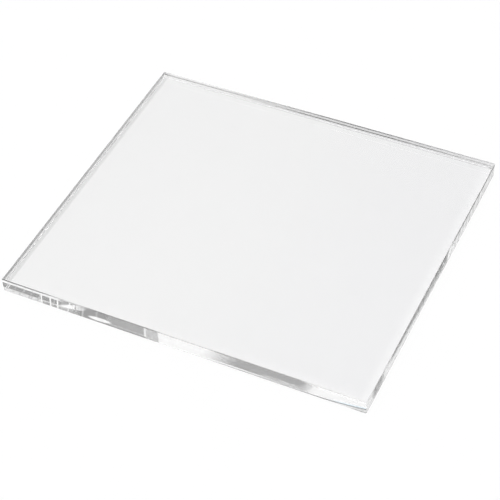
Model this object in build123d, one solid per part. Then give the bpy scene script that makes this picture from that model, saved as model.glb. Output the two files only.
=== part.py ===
"""Clear cast acrylic sheet, cut to size from thick stock, with machine-polished edges.

The sheet lies flat. The origin is the middle of its underside, +X runs along the
long side, +Y along the short side and +Z up through the thickness. All sizes are
in millimetres.
"""

import os

from build123d import *

# Plan size, 9 by 8 inches
SHEET_LENGTH = 228.6
SHEET_WIDTH = 203.2

# Stock gauge of the cast sheet, three eighths of an inch
THICKNESS = 9.525

# The upright corners are only eased by the polisher, not rounded off
CORNER_RADIUS = 0.6

# The arris is the narrow 45 degree bevel that the polishing head leaves all round
# the top and the underside
ARRIS = 0.35

# Buffing softens the line where the arris meets the face and the edge
BUFFED_RADIUS = 0.15


def cut_blank():
    """The sheet as cut: the plan outline, eased at its corners, one gauge thick."""
    outline = RectangleRounded(SHEET_LENGTH, SHEET_WIDTH, CORNER_RADIUS)
    return extrude(outline, amount=THICKNESS)


def rim(blank, height):
    """The closed run of edges round the blank at one height."""
    return blank.edges().filter_by_position(Axis.Z, height, height)


def bevel_arrises(blank):
    """Bevels the rim of the top face and of the underside."""
    rims = rim(blank, 0) + rim(blank, THICKNESS)
    return chamfer(rims, ARRIS)


def buff_arrises(sheet):
    """Rounds the four lines that the two arrises leave round the sheet."""
    heights = (0, ARRIS, THICKNESS - ARRIS, THICKNESS)
    lines = ShapeList()
    for height in heights:
        lines += rim(sheet, height)
    return fillet(lines, BUFFED_RADIUS)


def acrylic_sheet():
    sheet = buff_arrises(bevel_arrises(cut_blank()))
    sheet.label = "acrylic_sheet"
    return sheet


os.makedirs("parts", exist_ok=True)
export_step(acrylic_sheet(), "parts/acrylic_sheet.step")
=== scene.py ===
"""Looks of the clear acrylic sheet: polished glassy plastic on a pale table under soft studio light."""

import math

import bmesh
import bpy
from mathutils import Matrix, Vector


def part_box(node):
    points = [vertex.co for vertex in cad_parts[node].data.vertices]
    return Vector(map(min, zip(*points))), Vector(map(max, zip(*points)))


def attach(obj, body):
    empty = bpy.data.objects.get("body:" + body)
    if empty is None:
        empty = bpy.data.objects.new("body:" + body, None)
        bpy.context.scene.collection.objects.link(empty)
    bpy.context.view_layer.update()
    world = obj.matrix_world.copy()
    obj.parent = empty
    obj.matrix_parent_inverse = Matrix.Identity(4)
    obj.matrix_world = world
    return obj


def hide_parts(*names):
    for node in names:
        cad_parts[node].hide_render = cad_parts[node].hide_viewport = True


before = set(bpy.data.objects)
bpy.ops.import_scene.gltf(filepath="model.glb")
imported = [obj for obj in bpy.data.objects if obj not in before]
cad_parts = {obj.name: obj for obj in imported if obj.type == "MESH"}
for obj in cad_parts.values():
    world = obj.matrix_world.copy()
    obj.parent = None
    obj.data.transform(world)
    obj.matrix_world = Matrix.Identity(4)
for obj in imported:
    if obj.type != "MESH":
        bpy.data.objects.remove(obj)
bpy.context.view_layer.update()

NODE = "acrylic_sheet"

MM = 0.001
DEGREE = math.radians(1)

# Points closer than this are at the same place
SAME_PLACE = 0.001 * MM

# Sizes of the machined rim, the same as in the solid
CORNER_RADIUS = 0.6 * MM
CORNER_STEPS = 6
ARRIS = 0.35 * MM

# Buffing to a radius of 0.15 mm takes this much off each side of a 45 degree line
BUFFED_WIDTH = 0.06 * MM
BUFFED_STEPS = 3

# Neighbouring faces that meet at less than this look smooth
SMOOTH_ANGLE = 30 * DEGREE

# Share in percent that broad faces have in the smooth normals, so that they stay flat to their borders
BROAD_FACE_WEIGHT = 100

# Limits on how far a face's normal goes along an axis: flat faces, upright ones, and ones with the arrises
FLAT = 0.9999
UPRIGHT = 0.0001
WITH_ARRISES = 0.9

# The same for the half of an eased corner that belongs to an edge, and for an edge without its corners
HALF_CORNER = 0.7
NO_CORNER = 0.1

# Refractive index of cast acrylic
ACRYLIC_IOR = 1.49

# Share of light that comes through a face and an edge, and through the whole sheet to the table. The face's
# share is set low to paint in the shade under the sheet.
FACE_TINT_AND_SHADE = 0.975
EDGE_TINT = 0.99
PASSING_TINT = 0.985

# Fine scratches: their grey, their roughness, and the share of light that a scraped arris stops
HAZE_TINT = 0.2
HAZE_ROUGHNESS = 0.5
SCRAPED = 0.95

# Roughness of an arris where it is clear
ARRIS_ROUGHNESS = 0.05

# Sizes and depth of the unevenness in the edges
CLOUD_SIZE = 20 * MM
CLOUD_DEPTH = 0.01
HATCH_UNEVENNESS = 15 * MM

# Degrees that the waves of the polish tilt the front edge up or down
FRONT_WAVE = 0.45

# Where a wave is half there, ripples this fine tilt parts of the edge up and the rest down
RIPPLE_SIZE = 0.15 * MM
RIPPLE_SOFTNESS = 0.05

# Where stripes of the front edge start, as shares of its length
TICKS = (0.045, 0.073, 0.08, 0.099)
BARS = (0.111, 0.137, 0.158)
WEDGE_START = 0.1685
DROP_PLACE = 0.283

# Lines of the coarse and the fine hatch along the right edge
WIDE_HATCH = 31
FINE_HATCH = 83

# Light bounces from face to face inside the sheet many times before it comes out of an edge
INNER_BOUNCES = 64

# Camera, solved from the sheet's outline in the photo
IMAGE_SIZE = 500
FOCAL_PIXELS = 1597.8
SENSOR_WIDTH = 36.0
CAMERA_PLACE = Vector((0.31509, -0.59674, 0.67875))
CAMERA_FORWARD = Vector((-0.32888, 0.61421, -0.71735))
CAMERA_ROLL = math.radians(-3.639)

# The table is a hair below the sheet, so that air is between them
AIR_GAP = 0.05 * MM
TABLE_RADIUS = 12.0
TABLE_STEPS = 64
TABLE_WHITE = 0.945
MOTTLE_SIZE = 40 * MM
MOTTLE_DEPTH = 0.01

# The studio has a dim wall, between two heights in degrees, and pale light above and below it
WALL_FOOT = 14
WALL_TOP = 59
WALL_LEAN = 3
WALL_SOFTNESS = 2
WALL_LIGHT = 0.31

# The wall gains some light between these heights
UPPER_WALL = (38, 50)
UPPER_WALL_GAIN = 0.08

# Strength of the pale light, for what it lights and for how it is seen, and where it ends below the horizon
PALE_LIGHT = 2.53
PALE_SEEN = 1.8
HORIZON = (-3, -1)


# Shader maths

class Value:
    """A node socket that takes part in arithmetic."""

    def __init__(self, tree, socket):
        self.tree = tree
        self.socket = socket

    def maths(self, operation, *others):
        values = {index: other for index, other in enumerate((self,) + others)}
        return self.tree.add("ShaderNodeMath", {"operation": operation}, values)

    def __add__(self, other):
        return self.maths("ADD", other)

    def __sub__(self, other):
        return self.maths("SUBTRACT", other)

    def __rsub__(self, other):
        return self.tree.number(other).maths("SUBTRACT", self)

    def __mul__(self, other):
        return self.maths("MULTIPLY", other)

    def __truediv__(self, other):
        return self.maths("DIVIDE", other)

    __radd__ = __add__
    __rmul__ = __mul__

    def most(self, other):
        return self.maths("MAXIMUM", other)

    def least(self, other):
        return self.maths("MINIMUM", other)

    def size(self):
        return self.maths("ABSOLUTE")

    def squared(self):
        return self * self

    def ramp(self, low, high):
        """0 below low, 1 above high and smooth between."""
        settings = {"interpolation_type": "SMOOTHSTEP"}
        values = {"Value": self, "From Min": low, "From Max": high}
        return self.tree.add("ShaderNodeMapRange", settings, values)


class Tree:
    """The nodes of a material or of the world."""

    def __init__(self, owner):
        owner.use_nodes = True
        self.nodes = owner.node_tree.nodes
        self.links = owner.node_tree.links
        self.nodes.clear()

    def add(self, kind, settings=None, values=None, output=0):
        node = self.nodes.new(kind)
        for name, setting in (settings or {}).items():
            setattr(node, name, setting)
        for name, value in (values or {}).items():
            if isinstance(value, Value):
                self.links.new(value.socket, node.inputs[name])
            else:
                node.inputs[name].default_value = value
        return Value(self, node.outputs[output]) if node.outputs else None

    def number(self, number):
        return self.add("ShaderNodeMath", {"operation": "ADD"}, {0: number, 1: 0.0})

    def colour(self, red, green, blue):
        return self.add("ShaderNodeCombineColor", None, {0: red, 1: green, 2: blue})

    def parts(self, vector):
        """The three numbers of a vector."""
        return [self.add("ShaderNodeSeparateXYZ", None, {0: vector}, axis) for axis in range(3)]

    def rays(self, *kinds):
        """1 for rays of any of these kinds."""
        return any_of(*(self.add("ShaderNodeLightPath", output=kind) for kind in kinds))


def any_of(*shares):
    total = shares[0]
    for share in shares[1:]:
        total = total.most(share)
    return total


def between(value, low, high, soft):
    """1 from low to high, 0 outside and smooth over the ends."""
    return value.ramp(low - soft, low + soft) * (1 - value.ramp(high - soft, high + soft))


def stripes(value, starts, width, soft):
    """Stripes of one width that start at the given values."""
    return any_of(*(between(value, start, start + width, soft) for start in starts))


def places(tree):
    """Where a point of the sheet is between the ends of each axis, 0 to 1."""
    low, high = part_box(NODE)
    part = tree.parts(tree.add("ShaderNodeTexCoord", output="Object"))
    return [(part[axis] - low[axis]) / (high[axis] - low[axis]) for axis in range(3)]


def upper_half(part):
    return part[2].ramp(0.4, 0.6)


def clouds(tree, size, detail=2.0):
    """Soft noise, about 0.5, with lumps of the given size."""
    place = tree.add("ShaderNodeTexCoord", output="Object")
    return tree.add("ShaderNodeTexNoise", None, {"Vector": place, "Scale": 1 / size, "Detail": detail})


def ripples(tree):
    """Fine unevenness from 0 to 1, far smaller than the waves."""
    return clouds(tree, RIPPLE_SIZE, 0.0).ramp(0.25, 0.75)


def cloudy(tree):
    """The tint of the edges, which is hardly uneven at all."""
    tint = clouds(tree, CLOUD_SIZE) * CLOUD_DEPTH + (EDGE_TINT - CLOUD_DEPTH / 2)
    return tree.colour(tint, tint, tint)


# The sheet

def deselect_all():
    bpy.ops.object.select_all(action="DESELECT")


def pick(kind, chosen):
    """Selects the edges or faces of the mesh in edit mode that the test picks."""
    bpy.ops.mesh.select_all(action="DESELECT")
    bpy.ops.mesh.select_mode(type="EDGE" if kind == "edges" else "FACE")
    mesh = bmesh.from_edit_mesh(bpy.context.edit_object.data)
    for part in getattr(mesh, kind):
        if chosen(part):
            part.select_set(True)
    mesh.select_flush_mode()
    bmesh.update_edit_mesh(bpy.context.edit_object.data)


def near(a, b):
    return abs(a - b) < SAME_PLACE


def upright(edge):
    start, end = (vert.co for vert in edge.verts)
    return near(start.x, end.x) and near(start.y, end.y)


def at_any(*heights):
    """Picks the edges that lie level at one of these heights."""
    return lambda edge: any(all(near(vert.co.z, height) for vert in edge.verts) for height in heights)


def polished_sheet():
    """The sheet as a block with eased corners, bevelled arrises and buffed lines."""
    low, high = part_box(NODE)
    low, high = Vector(low), Vector(high)
    deselect_all()
    bpy.ops.mesh.primitive_cube_add(size=1, location=(low + high) / 2, scale=high - low)
    sheet = bpy.context.object
    sheet.name = "polished_sheet"
    bpy.ops.object.transform_apply(location=True, rotation=True, scale=True)
    bpy.ops.object.mode_set(mode="EDIT")
    pick("edges", upright)
    bpy.ops.mesh.bevel(offset=CORNER_RADIUS, segments=CORNER_STEPS, affect="EDGES")
    pick("edges", at_any(low.z, high.z))
    bpy.ops.mesh.bevel(offset=ARRIS, segments=1, affect="EDGES")
    pick("edges", at_any(low.z, low.z + ARRIS, high.z - ARRIS, high.z))
    bpy.ops.mesh.bevel(offset=BUFFED_WIDTH, segments=BUFFED_STEPS, affect="EDGES")
    bpy.ops.object.mode_set(mode="OBJECT")
    bpy.ops.object.shade_smooth_by_angle(angle=SMOOTH_ANGLE)
    even_normals = sheet.modifiers.new("even_normals", "WEIGHTED_NORMAL")
    even_normals.weight = BROAD_FACE_WEIGHT
    even_normals.keep_sharp = True
    bpy.ops.object.modifier_apply(modifier=even_normals.name)
    return sheet


# Clear acrylic

def grey(shade):
    return (shade, shade, shade, 1)


def colour_of(tint):
    """A tint as a socket takes it: a colour from the nodes as it is, a plain number as a grey."""
    return tint if isinstance(tint, Value) else grey(tint)


def finish_clear(tree, tint, roughness, normal=None, haze=None, haze_and_painted_tone=HAZE_TINT):
    """Finishes a material as clear acrylic. Haze is the share of light that fine scratches stop, 0 to 1, and
    its tint is partly painted reflection and shade.

    Light on its way to the table or to a scratch passes straight through.
    """
    values = {"Base Color": colour_of(tint), "Roughness": roughness}
    values |= {"IOR": ACRYLIC_IOR, "Transmission Weight": 1.0}
    if normal is not None:
        values["Normal"] = normal
    shader = tree.add("ShaderNodeBsdfPrincipled", None, values)
    if haze is not None:
        values = {"Base Color": colour_of(haze_and_painted_tone), "Roughness": HAZE_ROUGHNESS}
        values |= {"IOR": ACRYLIC_IOR, "Specular IOR Level": 0.0}
        scratches_and_painted_light = tree.add("ShaderNodeBsdfPrincipled", None, values)
        shader = tree.add("ShaderNodeMixShader", None, {0: haze, 1: shader, 2: scratches_and_painted_light})
    straight = tree.add("ShaderNodeBsdfTransparent", None, {"Color": grey(PASSING_TINT)})
    passing = tree.rays("Is Shadow Ray", "Is Diffuse Ray")
    shader = tree.add("ShaderNodeMixShader", None, {0: passing, 1: shader, 2: straight})
    tree.add("ShaderNodeOutputMaterial", None, {"Surface": shader})


def clear_face():
    """The top and the underside, a shade darker far off, with painted light in strips along the front and the
    right.

    Painted dark lines run on the top along the left and the back, with strips of painted shadow on the
    underside there.
    """
    material = bpy.data.materials.new("clear_face")
    tree = Tree(material)
    part = places(tree)
    low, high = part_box(NODE)
    length, width = ((high[axis] - low[axis]) / MM for axis in (0, 1))
    from_left, from_right = part[0] * length, (1 - part[0]) * length
    from_front, from_back = part[1] * width, (1 - part[1]) * width

    tint = (1 - part[0].ramp(0.2, 1) * 0.026 - part[1].ramp(0.3, 1) * 0.004) * FACE_TINT_AND_SHADE
    # Painted light: paler strips along the front and the right edges
    painted_glow = any_of(1 - from_right.ramp(1, 8), 1 - from_front.ramp(1, 7))
    tint = tint + (1 - tint) * painted_glow

    # Painted shade: dark lines on the top along the back and the left, and painted shadow strips on the
    # underside
    back_line = part[0].ramp(0.12, 0.55) * 0.93 - part[0].ramp(0.65, 1) * 0.45
    back_line = back_line * (1 - from_back.ramp(1.0, 1.5))
    left_line = (1 - from_left.ramp(1.6, 2.4)) * (0.72 - part[1] * 0.18)
    left_band = (1 - from_left.ramp(1.7, 3.5)) * 0.29
    back_band = between(from_back, 0.4, 1.2, 0.15) * part[0].ramp(0, 0.3) * 0.3
    top = upper_half(part)
    painted_shade = any_of(back_line, left_line) * top + any_of(left_band, back_band) * (1 - top)
    tint = tint * (1 - painted_shade)

    cold = part[0].ramp(0.4, 1) * 0.004
    finish_clear(tree, tree.colour(tint - cold, tint - cold, tint + cold), 0.0)
    return material


def arris():
    """The narrow bevels, hazy along the front, and below along the right and the back too, with painted
    reflection and shade in the haze's grey.
    """
    material = bpy.data.materials.new("arris")
    tree = Tree(material)
    part = places(tree)
    along = part[0]
    at_front = 1 - part[1].ramp(0.01, 0.02)
    at_right = along.ramp(0.98, 0.99)
    at_back = part[1].ramp(0.98, 0.99) * (1 - at_right)
    top = upper_half(part)

    top_haze = any_of(at_front * SCRAPED, at_right * 0.15)
    front_painted_haze = (1 - between(along, 0.44, 0.6, 0.02)) * (along.ramp(0.26, 0.3) * 0.3 + 0.6)
    low_haze = any_of(front_painted_haze * at_front, at_right * SCRAPED, at_back * SCRAPED)
    haze = top_haze * top + low_haze * (1 - top)

    # The haze's grey is painted: paler stretches are painted reflection, and the darker foot at the front's
    # right is painted shade
    pale_left = between(along, 0.14, 0.25, 0.03) * 0.35
    pale_middle = between(along, 0.45, 0.6, 0.02) * 0.3
    pale_right = along.ramp(0.82, 0.87) * 0.36
    top_tone = along * 0.22 + any_of(pale_left, pale_middle, pale_right)
    low_tone = at_back * 0.69 - at_front * along.ramp(0.28, 0.34) * 0.14
    tone = top_tone * top + low_tone * (1 - top) + HAZE_TINT
    haze_and_painted_tone = tree.colour(tone, tone, tone)
    finish_clear(tree, cloudy(tree), ARRIS_ROUGHNESS, haze=haze, haze_and_painted_tone=haze_and_painted_tone)
    return material


def polished_edge(name, outward, axis, crown, haze, haze_and_painted_tone, waves=None, outer_haze=1.0, inner_haze=1.0):
    """A polished edge. The polish leaves it slightly crowned and wavy, which tilts its normal up or down.

    The crown, the waves and the haze are functions of the place along the edge and up it, each from 0 to 1.
    The last two numbers are shares of the haze, for light that meets the edge from outside and from inside;
    the haze's grey is painted reflection and shade.
    """
    material = bpy.data.materials.new(name)
    tree = Tree(material)
    part = places(tree)
    along, height = part[axis], part[2]
    tilt = crown(along, height)
    if waves is not None:
        soft = RIPPLE_SOFTNESS
        up_or_down = waves(along, height) * (1 + 2 * soft) + ripples(tree) - (1 + soft)
        up_or_down = up_or_down.ramp(-soft, soft)
        tilt = tilt + (up_or_down * 2 - 1) * FRONT_WAVE
    inside = tree.add("ShaderNodeNewGeometry", output="Backfacing")
    normal = tilted_normal(tree, outward, 1 - inside * 2, tilt * DEGREE)
    stopped = haze(along, height) * (inside * (inner_haze - outer_haze) + outer_haze)
    scratches_and_painted_light = tree.colour(*haze_and_painted_tone(along, height))
    finish_clear(tree, cloudy(tree), 0.0, normal, stopped, scratches_and_painted_light)
    return material


def tilted_normal(tree, outward, side, tilt):
    """The normal of an edge tilted up a little, seen from one side, 1 for outside or -1 for inside."""
    values = {0: side * outward[0], 1: side * outward[1], 2: side * tilt}
    normal = tree.add("ShaderNodeCombineXYZ", None, values)
    settings = {"vector_type": "NORMAL", "convert_from": "OBJECT", "convert_to": "WORLD"}
    normal = tree.add("ShaderNodeVectorTransform", settings, {0: normal})
    return tree.add("ShaderNodeVectorMath", {"operation": "NORMALIZE"}, {0: normal})


def none(along, height):
    return height * 0


# Black haze grey, for the painted shade lines of the back edge
def black(along, height):
    painted_shade = height * 0
    return painted_shade, painted_shade, painted_shade


# The front edge, from the left end to the right

def front_edge():
    crown, haze, tint, waves = front_crown, front_painted_haze, front_painted_reflection, front_waves
    return polished_edge("front_edge", (0, -1), 0, crown, haze, tint, waves)


def front_crown(along, height):
    """Degrees that the crown tilts the front edge up, so that light from it leaves by the back's top rim."""
    return 1.58 - along * 4.058 + along.squared() * 0.789 + height * 3.94


def front_waves(along, height):
    """Where the front edge turns light down to the table, 1, or up to the room, 0.

    Places and widths in the marks are shares of the edge's length and height. A factor is a mark's strength.
    """
    marks = (left_bands, wedge, drop, middle_band, right_band, low_lines)
    return any_of(*(mark(along, height) for mark in marks))


def left_bands(along, height):
    """A band along the top, a fainter one near the bottom nicked by ticks, upright bars and a scratch."""
    top_band = between(height, 0.78, 0.97, 0.01) * (1 - along.ramp(0.16, 0.18))
    fading = along.ramp(0.11, 0.113) * (1 - height.ramp(0.25, 0.3)) * 0.85
    low_band = (1 - height.ramp(0.345, 0.375)) * (1 - fading)
    low_band = low_band * (1 - along.ramp(0.16, 0.2) * 0.7) * (1 - along.ramp(0.2, 0.24)) * 0.68
    ticks = stripes(along - height * 0.012, TICKS, 0.004, 0.002)
    low_band = low_band * (1 - ticks * 0.5)
    bars = stripes(along - height * 0.004, BARS, 0.0045, 0.001)
    scratch = between(along - height * 0.023, 0.0055, 0.008, 0.0008) * height.ramp(0.37, 0.4)
    return any_of(top_band, low_band, bars, scratch)


def wedge(along, height):
    """Light between two lines that climb to the right at different slopes."""
    upper_line = (along - WEDGE_START) * 10 + 0.44
    lower_line = (along - WEDGE_START) * 4 + 0.29 + (along - 0.222).most(0).squared() * 335
    above = (height - lower_line).ramp(-0.04, 0.06)
    below = 1 - (height - upper_line).ramp(-0.08, 0.08)
    end = 1 - (along + height * 0.03).ramp(0.225, 0.285)
    return above * below * along.ramp(0.16, 0.175) * end


def drop(along, height):
    """A leaning drop of light right of the wedge."""
    across = along - DROP_PLACE
    reach = (across / 0.033).squared() + ((height - 0.32 - across) / 0.16).squared()
    return 1 - reach.ramp(0.6, 1.3)


def middle_band(along, height):
    """The broad light in the middle, with a veil and a bar before it."""
    bar = between(along - height * 0.003, 0.407, 0.414, 0.002) * height.ramp(0.1, 0.2) * 0.75
    veil = between(along, 0.412, 0.446, 0.003) * 0.28
    broad = along.ramp(0.443, 0.452) * (1 - (along - height * 0.03).ramp(0.54, 0.66))
    return any_of(bar, veil, broad)


def right_band(along, height):
    """The light at the right end, above and below the dark line that rises through it."""
    curve = low_curve(along)
    above = (height - curve).ramp(-0.02, 0.02)
    below = (1 - (height - curve + 0.08).ramp(-0.02, 0.02)) * (0.8 - along.ramp(0.95, 0.99) * 0.2)
    below = below * (1 - (1 - height.ramp(0.05, 0.12)) * along.ramp(0.94, 0.98))
    return (along - height * 0.025).ramp(0.81, 0.86) * any_of(above, below)


def low_curve(along):
    """Height of the dark line that rises towards the right end."""
    return (along - 0.86).most(0).squared() * 16 + 0.12


def low_lines(along, height):
    """Faint lines near the bottom, two of them thin and one broad."""
    thin = between(height, 0.215, 0.27, 0.02) * between(along, 0.31, 0.44, 0.01) * 0.45
    long = between(height, 0.11, 0.22, 0.02) * between(along, 0.56, 0.84, 0.01)
    long = long * (1 - along.ramp(0.66, 0.78) * 0.5)
    broad = between(height, 0.1, 0.45, 0.06) * between(along, 0.74, 0.84, 0.04) * 0.38
    return any_of(thin, long, broad)


def blue_glow(along, height):
    """A strip of painted blue light above the dark line, at the right end."""
    return between(height - low_curve(along), 0.0, 0.12, 0.04) * along.ramp(0.88, 0.95)


# How much of the front edge shows painted reflection and shade: the greyer left, a dark foot, the dark curve
# and the blue glow
def front_painted_haze(along, height):
    curve = (1 - (height - low_curve(along)).ramp(-0.03, 0.03)) * along.ramp(0.82, 0.86) * 0.75
    foot = (1 - height.ramp(0.1, 0.16)) * between(along, 0.3, 0.43, 0.01) * 0.7
    left = any_of((1 - along.ramp(0.19, 0.22)) * 0.42, between(along, 0.22, 0.305, 0.01) * 0.6)
    return any_of(left, foot, curve, blue_glow(along, height) * 0.5)


# Painted reflection: the haze's grey is pale where the waves turn light down to the table and grey where they
# turn it up to the room, with painted blue light at the right end
def front_painted_reflection(along, height):
    tone = front_waves(along, height).least(1) * 0.65 + between(along, 0.17, 0.21, 0.01) * 0.2 + 0.3
    blue = blue_glow(along, height)
    return tone - blue * 0.3, tone - blue * 0.12, tone


# The right edge, from the front end to the back

def right_edge():
    return polished_edge("right_edge", (1, 0), 1, right_crown, right_painted_haze, right_painted_reflection, inner_haze=0.25)


def right_crown(along, height):
    """Degrees that the crown tilts the right edge up, so that light from it leaves by the left's low rim."""
    return along * 4.477 - 1.823 + height * 2.291 - back_part(along) * 0.7


def back_part(along):
    """1 in the paler part of the right edge, towards the back."""
    return along.ramp(0.58, 0.64)


# How much of the right edge shows its painted reflection
def right_painted_haze(along, height):
    return back_part(along) * 0.2 + 0.65


def hatch(along, height):
    """Uneven slanting lines across the right edge, wide ones and fine ones."""
    slant = along - height * 0.02 + clouds(along.tree, HATCH_UNEVENNESS) * 0.06
    wide, fine = (((slant * lines).maths("FRACT") - 0.5).size() for lines in (WIDE_HATCH, FINE_HATCH))
    return wide.ramp(0, 0.4) * 0.17 + fine.ramp(0.05, 0.45) * 0.14


def right_painted_reflection(along, height):
    """Painted reflection: pale, with a short dark patch, a long one that widens, and darker lines at the top
    and the bottom.
    """
    short_patch = between(along, 0.045, 0.118, 0.015) * (height.ramp(0.1, 0.4) * 0.25 + 0.28)
    slope = (height - (0.58 - along) * 1.35).ramp(-0.12, 0.32)
    long_patch = between(along, 0.17, 0.6, 0.02) * slope * (0.56 - along.ramp(0.36, 0.48) * 0.17)
    top_line = height.ramp(0.72, 0.84) * along.ramp(0.1, 0.15) * (along.ramp(0.62, 0.68) * 0.32 + 0.34)
    low_line = (1 - height.ramp(0.04, 0.2)) * 0.25
    # A painted glint
    glint = between(along - height * 0.03, 0.59, 0.61, 0.006) * between(height, 0.2, 0.9, 0.08)
    tone = 0.76 - any_of(short_patch, long_patch) + back_part(along) * (0.17 - hatch(along, height))
    tone = tone * (1 - top_line) * (1 - low_line)
    tone = tone + (1 - tone) * glint
    return tone, tone, tone


# The left edge with its arrises, from the front end to the back

def left_edge():
    return polished_edge("left_edge", (-1, 0), 1, none, left_haze, left_painted_shade, outer_haze=0.0)


def left_haze(along, height):
    """Only the arrises are hazy, from inside: the upper one all along, the lower one up to the middle."""
    upper_arris = height.ramp(0.96, 0.964) * 0.7
    lower_arris = (1 - height.ramp(0.036, 0.04)) * (1 - along.ramp(0.45, 0.6)) * 0.5
    return any_of(upper_arris, lower_arris)


# Painted shade in the arrises' haze, darker towards the top
def left_painted_shade(along, height):
    tone = 0.64 - height * 0.28
    return tone, tone, tone


# The back edge, from the left end to the right

def back_edge():
    return polished_edge("back_edge", (0, 1), 0, none, back_painted_shade, black)


def back_painted_shade(along, height):
    """A soft band of painted shade above the middle and a fine painted dark line below it."""
    middle = along.ramp(0.15, 0.4)
    right = along.ramp(0.65, 1)
    band = between(height, 0.42, middle * 0.2 + 0.64, 0.05) * (0.4 - middle * 0.18 - right * 0.1)
    line = between(height, 0.27, 0.41, 0.02) * (along.ramp(0.2, 0.5) * 0.87 - right * 0.45)
    return any_of(band, line)


# Which face has which finish

def outer(axis, side):
    """Picks the edge face that looks along one axis, and the half of each eased corner that belongs to it."""
    return lambda face: face.normal[axis] * side > HALF_CORNER and abs(face.normal.z) < UPRIGHT


def left_side(face):
    """Picks the left edge face and its arrises."""
    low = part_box(NODE)[0]
    at_left = face.calc_center_median().x < low[0] + ARRIS
    return at_left and abs(face.normal.y) < NO_CORNER and abs(face.normal.z) < WITH_ARRISES


def flat_top_or_bottom(face):
    return abs(face.normal.z) > FLAT


def finishes(sheet):
    """Gives the faces, the arrises and the four edges their own finishes."""
    chosen = (
        (arris(), lambda face: True),
        (clear_face(), flat_top_or_bottom),
        (front_edge(), outer(1, -1)),
        (right_edge(), outer(0, 1)),
        (left_edge(), left_side),
        (back_edge(), outer(1, 1)),
    )
    deselect_all()
    bpy.context.view_layer.objects.active = sheet
    bpy.ops.object.mode_set(mode="EDIT")
    for index, (material, test) in enumerate(chosen):
        sheet.data.materials.append(material)
        pick("faces", test)
        sheet.active_material_index = index
        bpy.ops.object.material_slot_assign()
    bpy.ops.object.mode_set(mode="OBJECT")


# The surroundings

def white_table():
    material = bpy.data.materials.new("white_table")
    tree = Tree(material)
    mottle = clouds(tree, MOTTLE_SIZE) * MOTTLE_DEPTH + TABLE_WHITE
    colour = tree.colour(mottle, mottle, mottle)
    shader = tree.add("ShaderNodeBsdfDiffuse", None, {"Color": colour})
    tree.add("ShaderNodeOutputMaterial", None, {"Surface": shader})
    return material


def table():
    """A pale table top, wide enough to fill the view."""
    deselect_all()
    low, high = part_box(NODE)
    place = (0, 0, low[2] - AIR_GAP)
    bpy.ops.mesh.primitive_circle_add(
        vertices=TABLE_STEPS, radius=TABLE_RADIUS, fill_type="NGON", location=place)
    top = bpy.context.object
    top.name = "table"
    bpy.ops.object.transform_apply(location=True, rotation=True, scale=True)
    top.data.materials.append(white_table())


def studio():
    """Pale light all round, apart from a dimmer wall that leans a little."""
    world = bpy.data.worlds.new("studio")
    bpy.context.scene.world = world
    tree = Tree(world)
    part = tree.parts(tree.add("ShaderNodeTexCoord", output="Generated"))
    rise = part[2].maths("ARCSINE") / DEGREE
    leaning = rise + part[0] * WALL_LEAN - part[1] * WALL_LEAN
    wall = between(leaning, WALL_FOOT, WALL_TOP, WALL_SOFTNESS)
    glow = WALL_LIGHT + rise.ramp(*UPPER_WALL) * UPPER_WALL_GAIN
    seen = tree.rays("Is Camera Ray", "Is Glossy Ray", "Is Transmission Ray")
    pale = (PALE_LIGHT - seen * (PALE_LIGHT - PALE_SEEN)) * rise.ramp(*HORIZON)
    strength = wall * glow + (1 - wall) * pale
    shader = tree.add("ShaderNodeBackground", None, {"Color": grey(1), "Strength": strength})
    tree.add("ShaderNodeOutputWorld", None, {"Surface": shader})


def camera():
    data = bpy.data.cameras.new("camera")
    data.sensor_width = SENSOR_WIDTH
    data.lens = SENSOR_WIDTH * FOCAL_PIXELS / IMAGE_SIZE
    seer = bpy.data.objects.new("camera", data)
    bpy.context.collection.objects.link(seer)
    forward = CAMERA_FORWARD.normalized()
    across = forward.cross(Vector((0, 0, 1))).normalized()
    above = across.cross(forward)
    turn = Matrix((across, above, -forward)).transposed()
    roll = Matrix.Rotation(CAMERA_ROLL, 3, "Z")
    seer.matrix_world = Matrix.Translation(CAMERA_PLACE) @ (turn @ roll).to_4x4()
    bpy.context.scene.camera = seer


def light_paths():
    """Lets light bounce often enough inside the sheet, and shows colours as they are."""
    scene = bpy.context.scene
    scene.view_settings.view_transform = "Standard"
    for kind in ("max", "glossy", "transmission"):
        setattr(scene.cycles, kind + "_bounces", INNER_BOUNCES)
    scene.cycles.blur_glossy = 0


sheet = polished_sheet()
finishes(sheet)
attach(sheet, "root")
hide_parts(NODE)
table()
studio()
camera()
light_paths()
